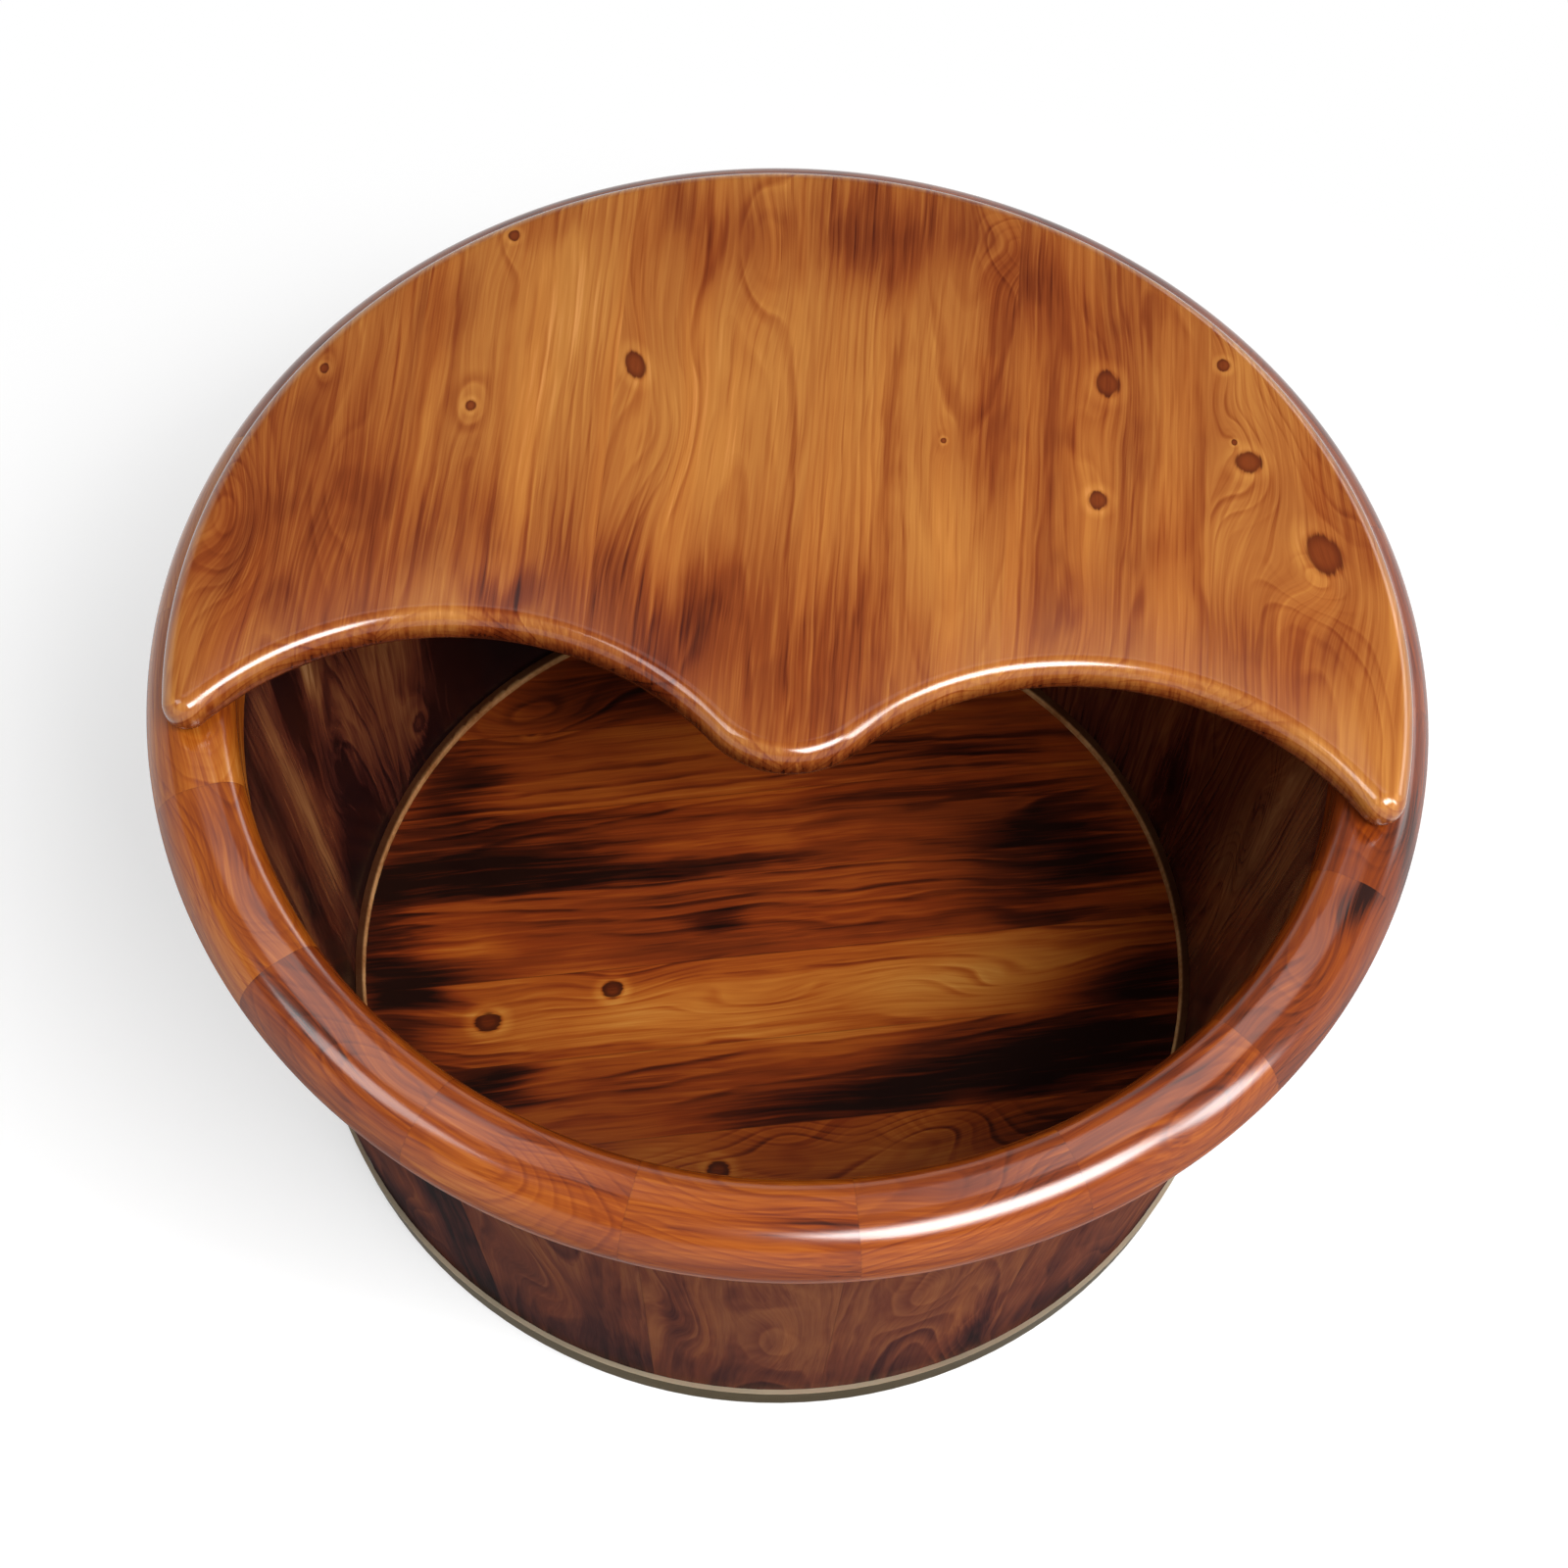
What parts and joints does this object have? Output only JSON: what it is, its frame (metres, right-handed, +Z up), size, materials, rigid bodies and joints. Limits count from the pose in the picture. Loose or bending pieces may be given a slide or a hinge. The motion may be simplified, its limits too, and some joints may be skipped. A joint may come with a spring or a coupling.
{
  "type": "wooden foot bath with lid",
  "caption": "Tapered round wooden foot bath of glued staves with a full-round rim, a plank floor, a metal foot hoop and a resting half lid with cut-outs for the legs.",
  "frame": {"origin": "centre of the foot circle, on the ground", "axes": "+Z up, -Y towards the user, on the side where the feet go in, +X to the right seen from there"},
  "size_m": [0.44, 0.44, 0.268],
  "materials": {
    "stave_wood": "semi-gloss varnish",
    "rim_wood": "gloss varnish",
    "floor_wood": "semi-gloss varnish",
    "lid_wood": "gloss varnish",
    "batten_wood": "satin varnish",
    "bamboo": "raw",
    "bead": "satin",
    "hoop_metal": "satin",
    "screw_metal": "satin"
  },
  "bodies": {
    "root": {"stave_01": "stave_wood", "stave_02": "stave_wood", "stave_03": "stave_wood", "stave_04": "stave_wood", "stave_05": "stave_wood", "stave_06": "stave_wood", "stave_07": "stave_wood", "stave_08": "stave_wood", "stave_09": "stave_wood", "stave_10": "stave_wood", "stave_11": "stave_wood", "stave_12": "stave_wood", "stave_13": "stave_wood", "stave_14": "stave_wood", "stave_15": "stave_wood", "stave_16": "stave_wood", "stave_17": "stave_wood", "stave_18": "stave_wood", "rim_segment_01": "rim_wood", "rim_segment_02": "rim_wood", "rim_segment_03": "rim_wood", "rim_segment_04": "rim_wood", "rim_segment_05": "rim_wood", "rim_segment_06": "rim_wood", "rim_segment_07": "rim_wood", "rim_segment_08": "rim_wood", "rim_segment_09": "rim_wood", "rim_segment_10": "rim_wood", "rim_segment_11": "rim_wood", "rim_segment_12": "rim_wood", "rim_segment_13": "rim_wood", "rim_segment_14": "rim_wood", "rim_segment_15": "rim_wood", "rim_segment_16": "rim_wood", "rim_segment_17": "rim_wood", "rim_segment_18": "rim_wood", "floor_plank_1": "floor_wood", "floor_plank_2": "floor_wood", "floor_plank_3": "floor_wood", "floor_plank_4": "floor_wood", "floor_plank_5": "floor_wood", "floor_plank_6": "floor_wood", "floor_plank_7": "floor_wood", "floor_plank_8": "floor_wood", "lid_plank_1": "lid_wood", "lid_plank_2": "lid_wood", "lid_plank_3": "lid_wood", "lid_plank_4": "lid_wood", "lid_plank_5": "lid_wood", "lid_plank_6": "lid_wood", "lid_batten_front": "batten_wood", "lid_batten_back": "batten_wood", "stave_pins": "bamboo", "floor_pins": "bamboo", "rim_dowels": "bamboo", "floor_bead": "bead", "foot_hoop": "hoop_metal", "batten_screws": "screw_metal"}
  },
  "joints": []
}
